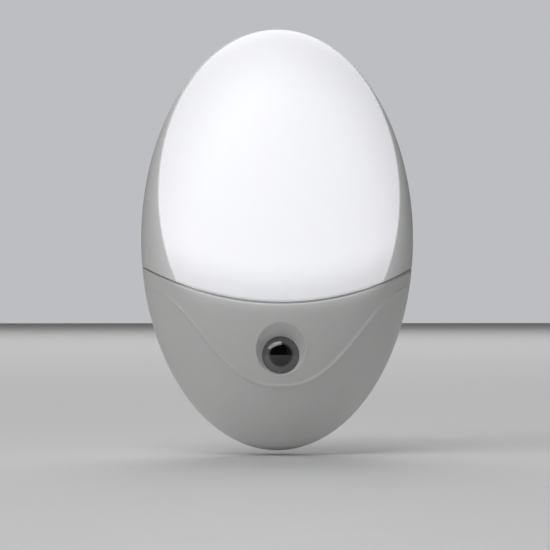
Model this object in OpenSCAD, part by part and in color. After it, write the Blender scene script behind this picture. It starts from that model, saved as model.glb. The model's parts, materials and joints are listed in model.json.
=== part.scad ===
// Plug-in night light: an egg-shaped body that hangs from a two-pin plug block.
// Frame: +Z up, the front faces -Y, the origin is midway between the pins on the plug's engagement face.

/* [Body] */
// Width of the egg-shaped body
body_w = 62; // [58:1:70]
// Height of the body
body_h = 96; // [92:1:108]
// Depth of the domed front, from the widest outline to its tip
dome_d = 22; // [21:0.5:26]
// Depth of the rear tub, from the widest outline to the flat back
tub_d = 12; // [11.5:0.5:14]
// Height of the body's centre above the middle of the plug
body_z = 17; // [14:0.5:19]
// Wall thickness of the rear housing and the diffuser
wall = 1.8; // [1.5:0.1:2.2]
// Wall thickness of the lower cover
cover_wall = 2.4; // [2.2:0.1:2.8]

/* [Partings] */
// Radius of the curved seam above the lower cover, seen from the front
seam_r = 64; // [58:1:80]
// How far the lowest point of the seam lies below the body's centre
seam_drop = 14.3; // [13:0.1:16]
// Width of the seam groove
seam_gap = 0.5; // [0.3:0.05:0.7]
// Tilt of the diffuser's parting plane from the vertical
parting_tilt = 12.9; // [10:0.1:14]
// Depth of the parting plane in front of the widest outline, at the body's centre
parting_d = 11.7; // [10:0.1:13]
// Gap left at the parting plane and behind the lower cover
parting_gap = 0.2; // [0.1:0.05:0.3]
// Clearance between a locating lip and the wall around it
lip_gap = 0.2; // [0.1:0.05:0.3]
// Thickness of a locating lip
lip_t = 1; // [0.8:0.1:1.2]
// How far a locating lip reaches past its parting
lip_l = 2; // [1.5:0.1:2.5]

/* [Crease of the lower cover] */
// Depth of the crease's lowest point below the body's centre
crease_low = 32.9; // [31:0.1:36]
// Depth below the body's centre at which the crease meets the outline
crease_end = 11; // [10:0.1:13]
// How sharply the crease turns in the middle
crease_turn = 1.22; // [1:0.01:1.5]
// Height of the soft bead along the crease
bead_h = 0.35; // [0.1:0.05:0.6]
// Half-width of the bead
bead_w = 1.2; // [0.8:0.1:1.8]
// How far the cheeks below the crease sink in
cheek_fall = 0.8; // [0:0.1:1]
// Distance over which the cheeks sink in
cheek_len = 5; // [3:0.5:8]

/* [Light sensor] */
// Depth of the sensor's centre below the body's centre
sensor_drop = 26; // [24:0.5:27]
// Radius of the sensor lens
lens_r = 4.15; // [3.5:0.05:4.5]
// Thickness of the lens
lens_t = 1.5; // [1.2:0.1:2]
// Height of the lens's dome above its rim
lens_crown = 1.5; // [1:0.1:1.8]
// How far the lens lies below the cover's surface, on its axis
lens_sink = 1.9; // [1.5:0.1:2.2]
// Angle between the dish's wall and its axis
dish_angle = 40.5; // [30:0.5:50]
// Radius of the photocell
photocell_r = 2.5; // [2:0.1:2.5]
// Thickness of the photocell
photocell_t = 2; // [1.5:0.1:2.5]

/* [Plug] */
// Width of the plug block
block_w = 35.3; // [34.6:0.1:36]
// Height of the plug block
block_h = 13.7; // [13:0.1:14.4]
// Distance from the engagement face to the housing's back
block_l = 18; // [17.5:0.5:20]
// Wall thickness of the plug block
block_wall = 2; // [1.6:0.1:2.4]
// Thickness of the engagement face
face_t = 3; // [2.5:0.1:3.5]
// Diameter of a pin's bare end
pin_d = 4; // [3.94:0.01:4.06]
// Length of a pin beyond the engagement face
pin_l = 19; // [18.5:0.1:19.5]
// Distance between the pins' axes at the engagement face
pin_pitch = 18.6; // [18:0.1:19.2]
// Distance between the pins' axes at the tips
tip_pitch = 17.5; // [17:0.1:18]
// Diameter of the insulating sleeves
sleeve_d = 3.6; // [3.5:0.02:3.64]
// Length of a sleeve beyond the engagement face
sleeve_l = 10; // [10:0.1:11]

/* [Circuit board] */
// Width of the board
board_w = 36; // [34:1:38]
// Height of the board above the body's centre
board_up = 35; // [32:1:36]
// Depth of the board's main edge below the body's centre
board_down = 26; // [24:0.5:26.5]
// Thickness of the board
board_t = 1.6; // [1:0.1:1.6]
// Distance from the widest outline back to the board's front
board_y = 1.6; // [1.4:0.1:2]
// Diameter of the board's posts
post_d = 5; // [4.5:0.1:6]
// Distance between the left and right rows of light-emitting diodes
led_pitch_x = 14; // [12:0.5:18]
// Distance between the rows of diodes up the board
led_pitch_z = 12; // [11:0.5:13]

/* [Screws] */
// Thread diameter of the two housing screws
housing_screw_d = 2.9; // [2.6:0.1:3.2]
// Distance between the housing screws
housing_screw_pitch = 19; // [18:0.5:20]
// Depth of the housing screws below the body's centre
housing_screw_drop = 31; // [30.5:0.1:32]
// Thread diameter of the board screws
board_screw_d = 2.2; // [2:0.1:2.4]

/* [Hidden] */
$fn = 64;

BIG = 200;                                     // side of a block that stands for a half-space
SLIP = 0.05;                                   // clearance round a part that slides into a bore
CLEAR = 0.3;                                   // clearance round a part that is loose
ROOT = 0.5;                                    // how far a post or rib runs into the wall it grows from

half_w = body_w / 2;
half_h = body_h / 2;
outline_y = -(block_l + tub_d);                // the widest outline, from the engagement face
seam_z = seam_r - seam_drop;                   // centre of the seam's arc, from the body's centre
back_in = tub_d - wall;                        // inner face of the housing's back
board_back = board_y + board_t;
plug_z = -body_z;                              // the plug's height, from the body's centre

// ---- The egg: one ellipsoid, moved in by an inset, in the body's own frame ----

module at_body() translate([0, outline_y, body_z]) children();

// The sphere's poles lie at the top and bottom of the egg, or at its front and back
module egg(inset = 0, poles_in_front = false)
    scale([half_w - inset, dome_d - inset, half_h - inset])
        rotate(poles_in_front ? [0, 90, -90] : [0, 0, 90]) sphere(1, $fn = 96);

module slab(y_from, y_to) translate([-BIG / 2, y_from, -BIG / 2]) cube([BIG, y_to - y_from, BIG]);

// Everything above the seam, whose arc is seen from the front
module above_seam(grow = 0)
    translate([0, BIG / 2, seam_z]) rotate([90, 0, 0]) cylinder(r = seam_r + grow, h = BIG, $fn = 200);

// Everything in front of the diffuser's parting plane, or behind it
module at_parting() translate([0, -parting_d, 0]) rotate([-parting_tilt, 0, 0]) children();
module ahead_of_parting(grow = 0) at_parting() slab(-BIG, grow);
module behind_parting(grow = 0) at_parting() slab(-grow, BIG);

// A cylinder along Y from one depth to another, at a place in the body's frame
module rod(x, z, y_from, y_to, r)
    translate([x, y_to, z]) rotate([90, 0, 0]) cylinder(r = r, h = y_to - y_from);

// A block from one corner to another
module block(low, high) translate(low) cube(high - low);

function ellipse_share(x, z) = pow(x / half_w, 2) + pow(z / half_h, 2);
function dome_y(x, z) = -dome_d * sqrt(max(0, 1 - ellipse_share(x, z)));

// ---- Screws and posts ----

function pilot_r(d) = 0.42 * d;
function head_r(d) = 0.95 * d;
function head_t(d) = 0.6 * d;
function clear_r(d) = 0.5 * d + 0.15;
function shank_r(d) = pilot_r(d) - 0.02;       // a plain shank that just fits its pilot

// A pan-head screw: its thread runs along +Y from the origin, with its head in front
module screw(d, l, point = 1.2)
    rotate([-90, 0, 0]) rotate_extrude($fn = 32)
        polygon([
            [0, -head_t(d)], [0.6 * head_r(d), -head_t(d)], [head_r(d), -0.6 * head_t(d)],
            [head_r(d), 0], [shank_r(d), 0], [shank_r(d), l - point], [0, l]
        ]);

board_screw_x = board_w / 2 - 3.5;
board_screw_z = [board_up - 5, -2.5];
board_screw_at = [for (z = board_screw_z, side = [-1, 1]) [side * board_screw_x, z]];
board_screw_l = 7;
board_pilot_l = 6;                             // depth of the pilot holes in the board's posts
housing_screw_at = [for (side = [-1, 1]) [side * housing_screw_pitch / 2, -housing_screw_drop]];
housing_screw_l = 12;
rib_t = 1.2;                                   // stiffening ribs between the board's posts
rib_h = 2.5;
tower_r = 4.2;                                 // towers in the housing, which hold the screws' heads
boss_r = 3.2;                                  // bosses in the lower cover, which take their threads
tower_head = 4;                                // depth of the housing's back at which a screw head seats
tower_y = 0.6;                                 // front of the towers, behind the widest outline
boss_pilot_l = 9;                              // depth of the pilot holes in the cover's bosses

// ---- Plug: outline, pins and sleeves ----

block_chamfer = 5;
block_corner_r = 1.6;

function outline_corners(w, h, c) = [
    [w / 2, h / 2 - c], [w / 2 - c, h / 2], [c - w / 2, h / 2],
    [-w / 2, h / 2 - c], [-w / 2, c - h / 2], [c - w / 2, -h / 2],
    [w / 2 - c, -h / 2], [w / 2, c - h / 2]
];

// Each 135 degree corner of an eight-sided outline as an arc of radius r
function rounded(corners, r, steps = 4) = [
    for (i = [0 : len(corners) - 1])
        let (
            p = corners[i],
            before = corners[(i + len(corners) - 1) % len(corners)],
            after = corners[(i + 1) % len(corners)],
            u = (before - p) / norm(before - p),
            v = (after - p) / norm(after - p),
            bisector = (u + v) / norm(u + v),
            centre = p + bisector * r / sin(67.5),
            start = atan2(-bisector[1], -bisector[0])
        )
        for (k = [0 : steps]) centre + r * [
            cos(start + 45 * (k / steps - 0.5)),
            sin(start + 45 * (k / steps - 0.5))
        ]
];

module block_outline(inset = 0)
    polygon(rounded(outline_corners(block_w - 2 * inset, block_h - 2 * inset,
        block_chamfer - 0.59 * inset), block_corner_r));

// The block's outline pushed along +Y, in the plug's frame
module block_prism(y_from, y_to, inset = 0)
    translate([0, y_to, 0]) rotate([90, 0, 0]) linear_extrude(y_to - y_from) block_outline(inset);

converge = atan((pin_pitch - tip_pitch) / 2 / pin_l);
core_r = 1.4;                                  // the pin's core, under its sleeve
flange_r = 3;
flange_t = 1.5;
tail_l = 9.5;                                  // how far the pin's tail reaches behind the face
relief_r = 2.6;                                // shallow relief round each pin on the face
relief_d = 0.4;

// side is -1 for the left pin and 1 for the right one; the local Z axis points out along the pin
module along_pin(side)
    translate([side * pin_pitch / 2, 0, 0]) rotate([0, 0, side * converge]) rotate([-90, 0, 0]) children();

module pin(side)
    color("silver") along_pin(side) rotate_extrude($fn = 48)
        polygon(concat(
            [[0, -tail_l], [core_r, -tail_l], [core_r, -face_t - flange_t], [flange_r, -face_t - flange_t],
             [flange_r, -face_t], [core_r, -face_t], [core_r, sleeve_l], [pin_d / 2, sleeve_l]],
            [for (a = [0 : 15 : 90]) [cos(a), sin(a)] * pin_d / 2 + [0, pin_l - pin_d / 2]]
        ));

module pin_sleeve(side)
    color("dimgray") along_pin(side) translate([0, 0, -face_t]) difference() {
        cylinder(d = sleeve_d, h = face_t + sleeve_l, $fn = 48);
        translate([0, 0, -1]) cylinder(r = core_r + 0.02, h = face_t + sleeve_l + 2, $fn = 48);
    }

module pin_left() pin(-1);
module pin_right() pin(1);
module pin_sleeve_left() pin_sleeve(-1);
module pin_sleeve_right() pin_sleeve(1);

retainer_front = face_t + flange_t + SLIP;
retainer_t = 2.5;
retainer_boss_r = 2.4;
retainer_screw_l = 5.5;
retainer_pilot_y = -1.5;                       // bottom of the screw's pilot hole, inside the face

module pin_retainer()
    color("gainsboro") difference() {
        block_prism(-retainer_front - retainer_t, -retainer_front, block_wall + CLEAR);
        for (side = [-1, 1])
            along_pin(side) translate([0, 0, -BIG / 2]) cylinder(r = core_r + SLIP, h = BIG);
        rod(0, 0, -BIG / 2, 0, clear_r(board_screw_d));
    }

module retainer_screw()
    color("silver") translate([0, -retainer_front - retainer_t, 0]) screw(board_screw_d, retainer_screw_l);

// Each wire is soldered to a pin's tail and runs to its hole in the board
wire_r = 0.8;
wire_core_r = 0.35;
wire_bare = 0.6;                               // bare core between the insulation and the board
function wire_x(side) = side * (pin_pitch / 2 + tail_l * sin(converge));
tail_y = block_l + tub_d - tail_l * cos(converge) - SLIP; // end of the tail, from the widest outline

module wire(side)
    at_body() {
        rod(wire_x(side), plug_z, board_back + wire_bare, tail_y, wire_r);
        rod(wire_x(side), plug_z, board_y + SLIP, board_back + wire_bare + ROOT, wire_core_r);
    }

module wire_left() color("royalblue") wire(-1);
module wire_right() color("saddlebrown") wire(1);

// ---- Rear housing ----

module housing_shell()
    difference() {
        intersection() { egg(0, true); slab(-dome_d, tub_d); }
        intersection() { egg(wall, true); slab(-BIG, back_in); }
        difference() {
            slab(-BIG, parting_gap);
            intersection() { above_seam(-seam_gap / 2); behind_parting(-parting_gap / 2); }
        }
    }

// The rim that the lower cover slips over
module housing_lip()
    difference() {
        intersection() { egg(wall - 0.3, true); slab(-lip_l, lip_l); }
        egg(cover_wall + lip_gap + lip_t, true);
        above_seam(3);
        difference() { slab(-lip_l - 1, parting_gap); egg(cover_wall + lip_gap, true); }
    }

// A frame of low ribs on the back wall, from post to post
module post_ribs() {
    x = board_screw_x;
    low = board_screw_z[1];
    high = board_screw_z[0];
    for (side = [-1, 1])
        block([side * x - rib_t / 2, back_in - rib_h, low], [side * x + rib_t / 2, back_in + ROOT, high]);
    for (z = [low, (low + high) / 2, high])
        block([-x, back_in - rib_h, z - rib_t / 2], [x, back_in + ROOT, z + rib_t / 2]);
}

module rear_housing()
    color("whitesmoke") difference() {
        union() {
            difference() {
                union() {
                    at_body() housing_shell();
                    at_body() housing_lip();
                    at_body() for (p = board_screw_at)
                        rod(p[0], p[1], board_back, back_in + ROOT, post_d / 2);
                    at_body() for (p = housing_screw_at)
                        rod(p[0], p[1], tower_y, back_in + ROOT, tower_r);
                    at_body() post_ribs();
                    block_prism(-block_l - ROOT, 0);
                }
                block_prism(-block_l - wall - 1, -face_t, block_wall);
            }
            rod(0, 0, -face_t - flange_t, -face_t + ROOT, retainer_boss_r);
        }
        for (side = [-1, 1]) along_pin(side) {
            translate([0, 0, -retainer_front]) cylinder(r = sleeve_d / 2 + SLIP, h = retainer_front + 1);
            translate([0, 0, -relief_d]) cylinder(r = relief_r, h = relief_d + 1);
        }
        rod(0, 0, -retainer_front, retainer_pilot_y, pilot_r(board_screw_d));
        at_body() for (p = board_screw_at)
            rod(p[0], p[1], board_back - 1, board_back + board_pilot_l, pilot_r(board_screw_d));
        at_body() for (p = housing_screw_at) {
            rod(p[0], p[1], tower_y - 1, tub_d + 1, clear_r(housing_screw_d));
            rod(p[0], p[1], tub_d - tower_head, tub_d + 1, head_r(housing_screw_d) + CLEAR / 2);
        }
    }

// ---- Lower cover: the skin is lofted from the seam, through the crease, to the outline ----

seam_edge_r = seam_r + seam_gap / 2;
narrow = 1 - pow(half_w / half_h, 2);
corner_z = (seam_z - sqrt(pow(seam_z, 2)
    - narrow * (pow(half_w, 2) + pow(seam_z, 2) - pow(seam_edge_r, 2)))) / narrow;
corner_x = half_w * sqrt(1 - pow(corner_z / half_h, 2));
crease_x = half_w * sqrt(1 - pow(crease_end / half_h, 2));
crease_angle = asin(crease_x / half_w);

columns = 56;
function crease_z(x) = -crease_end - (crease_low - crease_end)
    * (1 + cos(180 * pow(min(1, abs(x) / crease_x), crease_turn))) / 2;
function crease_slope(x) = (crease_z(x + 0.1) - crease_z(x - 0.1)) / 0.2;

// Distance below the crease, measured across it
function below_crease(x, z) = (crease_z(x) - z) / sqrt(1 + pow(crease_slope(x), 2));

function relief(x, z) =
    let (
        q = below_crease(x, z),
        bead = bead_h * pow(cos(90 * min(1, abs(q) / bead_w)), 2),
        sink = q > 0 ? cheek_fall * (1 - exp(-q / cheek_len)) : 0
    )
    (bead - sink) * (1 - pow(ellipse_share(x, z), 3));

function skin_point(p) =
    let (
        x = p[0],
        z = p[1],
        y = dome_y(x, z),
        n = [x / pow(half_w, 2), y / pow(dome_d, 2), z / pow(half_h, 2)]
    )
    [x, y, z] + n / norm(n) * relief(x, z);

// s runs from -1 at the left corner to 1 at the right one
function on_seam(s) = let (x = corner_x * sin(90 * s)) [x, seam_z - sqrt(pow(seam_edge_r, 2) - x * x)];
function on_crease(s) = let (x = crease_x * sin(90 * s)) [x, crease_z(x)];
function on_outline(s) = [half_w * sin(crease_angle * s), -half_h * cos(crease_angle * s)];
function to_outline(p) = p / sqrt(ellipse_share(p[0], p[1]));

// Shares of the way from the seam to the crease, and from the crease to the outline, close beside the bead
function shares_above(l) = concat(
    [for (f = [0, 0.2, 0.4, 0.6, 0.8, 1]) f * (1 - bead_w / l)],
    [for (d = [0.66, 0.33]) 1 - d * bead_w / l]
);
function shares_below(l) =
    let (first = min(bead_w / l, 0.2))
    concat([0, 0.33 * first, 0.66 * first], [for (t = [0 : 7]) first + (1 - first) * sin(90 * t / 8)], [1]);

function skin_column(i) =
    let (
        s = 2 * i / columns - 1,
        top = on_seam(s),
        mid = on_crease(s),
        low = on_outline(s),
        upper = [for (f = shares_above(norm(mid - top))) top + f * (mid - top)]
    )
    abs(s) == 1
        ? [for (p = concat(upper, [mid])) let (q = to_outline(p)) [q[0], 0, q[1]]]
        : concat(
            [for (p = upper) skin_point(p)],
            [for (f = shares_below(norm(low - mid))) f == 1 ? [low[0], 0, low[1]]
                : skin_point(mid + f * (low - mid))]
        );

above_n = len(shares_above(seam_drop));
rows = above_n + len(shares_below(seam_drop)) - 1; // index of the outline's row

// The lofted front, closed by a wall behind the seam and a flat back
module cover_solid() {
    inner = [for (i = [1 : columns - 1]) skin_column(i)];
    left = skin_column(0);
    right = skin_column(columns);
    seam_back = [for (c = inner) [c[0][0], 0, c[0][2]]];
    points = concat([for (c = inner) each c], left, right, seam_back);
    left_0 = (columns - 1) * (rows + 1);
    right_0 = left_0 + above_n + 1;
    back_0 = right_0 + above_n + 1;
    function at(i, j) =
        i == 0 ? left_0 + min(j, above_n)
        : i == columns ? right_0 + min(j, above_n)
        : (i - 1) * (rows + 1) + j;
    function back_at(i) = i == 0 ? left_0 : i == columns ? right_0 : back_0 + i - 1;
    quads = concat(
        [for (i = [0 : columns - 1], j = [0 : rows - 1])
            [at(i, j), at(i + 1, j), at(i + 1, j + 1), at(i, j + 1)]],
        [for (i = [0 : columns - 1]) [back_at(i), back_at(i + 1), at(i + 1, 0), at(i, 0)]],
        [for (i = [1 : columns - 2]) [at(i, rows), at(i + 1, rows), back_at(i + 1), back_at(i)]]
    );
    ends = concat(
        [
            [at(0, 0), at(1, rows), back_at(1)],
            [at(columns, 0), back_at(columns - 1), at(columns - 1, rows)]
        ],
        [for (j = [0 : above_n - 1]) [at(0, j), at(0, j + 1), at(1, rows)]],
        [for (j = [0 : above_n - 1]) [at(columns, j + 1), at(columns, j), at(columns - 1, rows)]]
    );
    triangles = concat(
        [for (q = quads) each [[q[0], q[1], q[2]], [q[0], q[2], q[3]]]],
        ends
    );
    polyhedron(points, [for (t = triangles) if (t[0] != t[1] && t[1] != t[2] && t[0] != t[2]) t]);
}

lens_y = dome_y(0, -sensor_drop) + lens_sink;  // front of the lens's ring
lens_back = lens_y + lens_t;
flange_t_lens = 0.8;
flange_y = lens_back + flange_t_lens;          // back of the lens's flange
lens_flange_r = lens_r + 0.85;
shroud_l = 5.2;
collar_back = flange_y + shroud_l - 1;
collar_r = lens_flange_r + 1.5;

module lower_cover()
    color("whitesmoke") at_body() difference() {
        union() {
            difference() {
                cover_solid();
                egg(cover_wall);
            }
            intersection() {
                egg(cover_wall - 1);
                union() {
                    rod(0, -sensor_drop, -dome_d, collar_back, collar_r);
                    for (p = housing_screw_at) rod(p[0], p[1], -dome_d, tower_y - SLIP, boss_r);
                }
            }
        }
        translate([0, lens_y, -sensor_drop]) rotate([90, 0, 0])
            cylinder(r1 = lens_r + SLIP, r2 = lens_r + SLIP + dome_d * tan(dish_angle), h = dome_d);
        rod(0, -sensor_drop, lens_y - 0.01, 0, lens_r + SLIP);
        rod(0, -sensor_drop, lens_back, 0, lens_flange_r + SLIP);
        for (p = housing_screw_at)
            rod(p[0], p[1], tower_y - boss_pilot_l, tower_y + 1, pilot_r(housing_screw_d));
    }

// ---- Diffuser: a frosted dome whose rebated edge slips inside the wings and the cover ----

module diffuser_reach(grow)
    intersection() { ahead_of_parting(grow - parting_gap / 2); above_seam(grow - seam_gap / 2); }

module diffuser()
    color("white") at_body() difference() {
        union() {
            intersection() { egg(); diffuser_reach(0); }
            intersection() { egg(cover_wall + lip_gap); diffuser_reach(lip_l); }
        }
        egg(cover_wall + lip_gap + lip_t);
        intersection() { egg(wall); diffuser_reach(-lip_l); }
    }

// ---- Reflector: a white tray round the diodes, with a wall that keeps their light off the photocell ----

led_size = [3.5, 0.8, 2.8];
led_at = [for (row = [0 : 2], side = [-1, 1]) [side * led_pitch_x / 2, 2 + row * led_pitch_z]];
tray_t = 0.9;
tray_in = 3;                                   // the tray stays this far inside the housing's wall
baffle_in = 5;                                 // the baffle lies this far above the seam
baffle_t = 1.2;
baffle_inset = cover_wall + lip_gap + lip_t + 0.6;

module reflector()
    color("white") at_body() difference() {
        union() {
            intersection() {
                egg(wall + tray_in);
                slab(board_y - tray_t, board_y);
                above_seam(-baffle_in);
            }
            intersection() {
                egg(baffle_inset);
                slab(-dome_d, board_y);
                difference() { above_seam(-baffle_in); above_seam(-baffle_in - baffle_t); }
            }
        }
        for (p = led_at) block(
            [p[0] - led_size[0] / 2 - CLEAR, -1, p[1] - led_size[2] / 2 - CLEAR],
            [p[0] + led_size[0] / 2 + CLEAR, board_y + 1, p[1] + led_size[2] / 2 + CLEAR]
        );
        for (p = board_screw_at) rod(p[0], p[1], -1, board_y + 1, clear_r(board_screw_d));
    }

// ---- Light sensor ----

// Points of a dome's arc, from its rim of radius r up to its crown of height h
function dome_arc(r, h, steps = 12) =
    let (
        arc_r = (r * r + h * h) / (2 * h),
        reach = asin(r / arc_r)
    )
    [for (k = [0 : steps]) let (a = reach * (1 - k / steps)) [arc_r * sin(a), arc_r * (cos(a) - 1) + h]];

module sensor_lens()
    color("dimgray") at_body() translate([0, flange_y, -sensor_drop]) rotate([90, 0, 0])
        rotate_extrude($fn = 64) polygon(concat(
            [[0, 0], [lens_flange_r, 0], [lens_flange_r, flange_t_lens], [lens_r, flange_t_lens]],
            [for (p = dome_arc(lens_r, lens_crown)) p + [0, flange_t_lens + lens_t]]
        ));

module sensor_shroud()
    color("black") at_body() difference() {
        rod(0, -sensor_drop, flange_y, flange_y + shroud_l, lens_flange_r);
        rod(0, -sensor_drop, flange_y - 1, flange_y + shroud_l + 1, photocell_r + SLIP);
    }

photocell_in = 1.5;                            // depth of the photocell in its shroud
photocell_y = flange_y + photocell_in;
photocell_back = photocell_y + photocell_t;
lead_r = 0.25;
photocell_lead_x = 1.7;

module photocell()
    color("orange") at_body() rod(0, -sensor_drop, photocell_y, photocell_back, photocell_r);

module photocell_leads()
    color("silver") at_body() for (side = [-1, 1])
        rod(side * photocell_lead_x, -sensor_drop, photocell_back, board_back + leg_out, lead_r);

// ---- Circuit board and what is soldered to it ----

film_at = [7 - board_w / 2, 13 - board_down];
film_size = [12, 11, 6.5];
film_foot = [1, 0.5];                          // width and height of the feet that it stands on
electrolytic_at = [board_w / 2 - 8.5, 13 - board_down];
electrolytic_r = 3.15;
electrolytic_l = 11;
bridge_at = [6.5 - board_w / 2, 4 - board_down];
bridge_size = [4.8, 2.6, 4];
bridge_leg = [0.6, 1.2, 1];
bridge_leg_pitch = 2.6;
fuse_at = [board_w / 2 - 7.5, 3.5 - board_down];
transistor_at = [0, 11.8 - board_down];
transistor_r = 2.3;
transistor_l = 4.6;
transistor_lift = 2.4;                         // height of its case above the board
transistor_flat = 1.3;                         // distance of its flat side from its axis
chip_size = [2, 0.55, 1.25];
chip_pitch = 3.4;
chip_z = 5.8 - board_down;                     // lower edge of the row of chips
tongue_w = 10;
tongue_down = 29;
hole_r = 0.45;
leg_r = 0.3;
leg_out = 0.8;                                 // how far a leg shows behind the board
fuse_leg = 4.6;
film_leg = 5;
electrolytic_leg = 1.25;
transistor_leg = 1.27;

// Every leg that goes through the board
leg_at = concat(
    [for (side = [-1, 1]) film_at + [side * film_leg, 0]],
    [for (side = [-1, 1]) electrolytic_at + [side * electrolytic_leg, 0]],
    [for (side = [-1, 1]) fuse_at + [side * fuse_leg, 0]],
    [for (k = [-1 : 1]) transistor_at + [k * transistor_leg, 0]],
    [for (side = [-1, 1]) [side * photocell_lead_x, -sensor_drop]],
    [for (side = [-1, 1]) [wire_x(side), plug_z]]
);

module legs(places) for (p = places) rod(p[0], p[1], board_y - 0.01, board_back + leg_out, leg_r);

module main_board() {
    corner = 4;
    color("darkgreen") at_body() difference() {
        translate([0, board_back, 0]) rotate([90, 0, 0]) linear_extrude(board_t) polygon([
            [-board_w / 2, -board_down], [-tongue_w / 2, -board_down], [-tongue_w / 2, -tongue_down],
            [tongue_w / 2, -tongue_down], [tongue_w / 2, -board_down], [board_w / 2, -board_down],
            [board_w / 2, board_up - corner], [board_w / 2 - corner, board_up],
            [corner - board_w / 2, board_up], [-board_w / 2, board_up - corner]
        ]);
        for (p = leg_at) rod(p[0], p[1], board_y - 1, board_back + 1, hole_r);
        for (p = board_screw_at) rod(p[0], p[1], board_y - 1, board_back + 1, clear_r(board_screw_d));
    }
}

module leds()
    color("lightyellow") at_body() for (p = led_at) difference() {
        block([p[0] - led_size[0] / 2, board_y - led_size[1], p[1] - led_size[2] / 2],
            [p[0] + led_size[0] / 2, board_y, p[1] + led_size[2] / 2]);
        translate([p[0], board_y - led_size[1] - 0.01, p[1]]) rotate([-90, 0, 0])
            cylinder(r1 = 1.15, r2 = 0.9, h = 0.35, $fn = 32);
    }

module film_capacitor()
    color("gold") at_body() {
        difference() {
            block([film_at[0] - film_size[0] / 2, board_y - film_size[1], film_at[1] - film_size[2] / 2],
                [film_at[0] + film_size[0] / 2, board_y, film_at[1] + film_size[2] / 2]);
            block([film_at[0] - film_size[0] / 2 + film_foot[0], board_y - film_foot[1], -BIG],
                [film_at[0] + film_size[0] / 2 - film_foot[0], board_y + 1, BIG]);
        }
        for (side = [-1, 1]) rod(film_at[0] + side * film_leg, film_at[1],
            board_y - 2 * film_foot[1], board_back + leg_out, leg_r);
    }

module electrolytic_capacitor()
    color("midnightblue") at_body() {
        translate([electrolytic_at[0], board_y, electrolytic_at[1]]) rotate([90, 0, 0])
            rotate_extrude($fn = 48) polygon([
                [0, 0], [electrolytic_r, 0], [electrolytic_r, 1.2], [electrolytic_r - 0.3, 1.6],
                [electrolytic_r, 2], [electrolytic_r, electrolytic_l - 0.4],
                [electrolytic_r - 0.4, electrolytic_l], [electrolytic_r - 0.9, electrolytic_l],
                [electrolytic_r - 0.9, electrolytic_l - 0.2], [0, electrolytic_l - 0.2]
            ]);
        legs([for (side = [-1, 1]) electrolytic_at + [side * electrolytic_leg, 0]]);
    }

module bridge_rectifier()
    color("dimgray") at_body() translate([bridge_at[0], board_y, bridge_at[1]]) {
        block([-bridge_size[0] / 2, -bridge_size[1], -bridge_size[2] / 2],
            [bridge_size[0] / 2, -SLIP, bridge_size[2] / 2]);
        for (sx = [-1, 1], sz = [-1, 1])
            translate([sx * bridge_leg_pitch / 2, 0, sz * bridge_size[2] / 2])
                block([-bridge_leg[0] / 2, -bridge_leg[1], -bridge_leg[2] / 2],
                    [bridge_leg[0] / 2, 0, bridge_leg[2] / 2]);
    }

fuse_r = 1.4;
fuse_l = 7;
fuse_cap = [1.5, 0.2];                         // length of its end caps, and how far they stand proud
fuse_edge = 0.4;                               // chamfer of its edges
fuse_lift = 0.3;

module fuse_resistor() {
    half = fuse_l / 2;
    color("tan") at_body() translate([fuse_at[0], board_y - fuse_r - fuse_lift, fuse_at[1]]) {
        for (side = [-1, 1]) rotate([0, side * 90, 0]) rotate_extrude($fn = 40) polygon([
            [0, -SLIP], [fuse_r - fuse_cap[1], -SLIP],
            [fuse_r - fuse_cap[1], half - fuse_cap[0] - fuse_edge], [fuse_r, half - fuse_cap[0]],
            [fuse_r, half - fuse_edge], [fuse_r - fuse_edge, half], [0, half]
        ]);
        for (side = [-1, 1]) {
            translate([side * (half + fuse_leg) / 2, 0, 0]) rotate([0, 90, 0])
                cylinder(r = leg_r, h = fuse_leg - half + fuse_edge, center = true);
            translate([side * fuse_leg, -leg_r, 0]) rotate([-90, 0, 0])
                cylinder(r = leg_r, h = leg_r + fuse_r + fuse_lift + board_t + leg_out);
        }
    }
}

module chip_resistors()
    color("black") at_body() for (k = [-2 : 2])
        translate([k * chip_pitch - chip_size[0] / 2, board_y - chip_size[1], chip_z]) cube(chip_size);

module transistor()
    color("black") at_body() {
        difference() {
            rod(transistor_at[0], transistor_at[1], board_y - transistor_lift - transistor_l,
                board_y - transistor_lift, transistor_r);
            block([-BIG, -BIG, transistor_at[1] + transistor_flat], [BIG, BIG, BIG]);
        }
        for (k = [-1 : 1]) rod(transistor_at[0] + k * transistor_leg, transistor_at[1],
            board_y - transistor_lift - ROOT, board_back + leg_out, leg_r);
    }

// ---- Screws ----

module board_screws()
    color("silver") at_body() for (p = board_screw_at)
        translate([p[0], board_y - tray_t, p[1]]) screw(board_screw_d, board_screw_l);

module housing_screws()
    color("silver") at_body() for (p = housing_screw_at)
        translate([p[0], tub_d - tower_head, p[1]])
            rotate([0, 0, 180]) screw(housing_screw_d, housing_screw_l);

rear_housing();
lower_cover();
diffuser();
reflector();
sensor_lens();
sensor_shroud();
photocell();
photocell_leads();
main_board();
leds();
film_capacitor();
electrolytic_capacitor();
bridge_rectifier();
fuse_resistor();
chip_resistors();
transistor();
pin_left();
pin_right();
pin_sleeve_left();
pin_sleeve_right();
pin_retainer();
retainer_screw();
wire_left();
wire_right();
board_screws();
housing_screws();
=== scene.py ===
"""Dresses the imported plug-in night light: moulded shells, finishes, camera, floor and light."""

import json
import math

import bmesh
import bpy
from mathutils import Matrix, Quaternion, Vector


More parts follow.
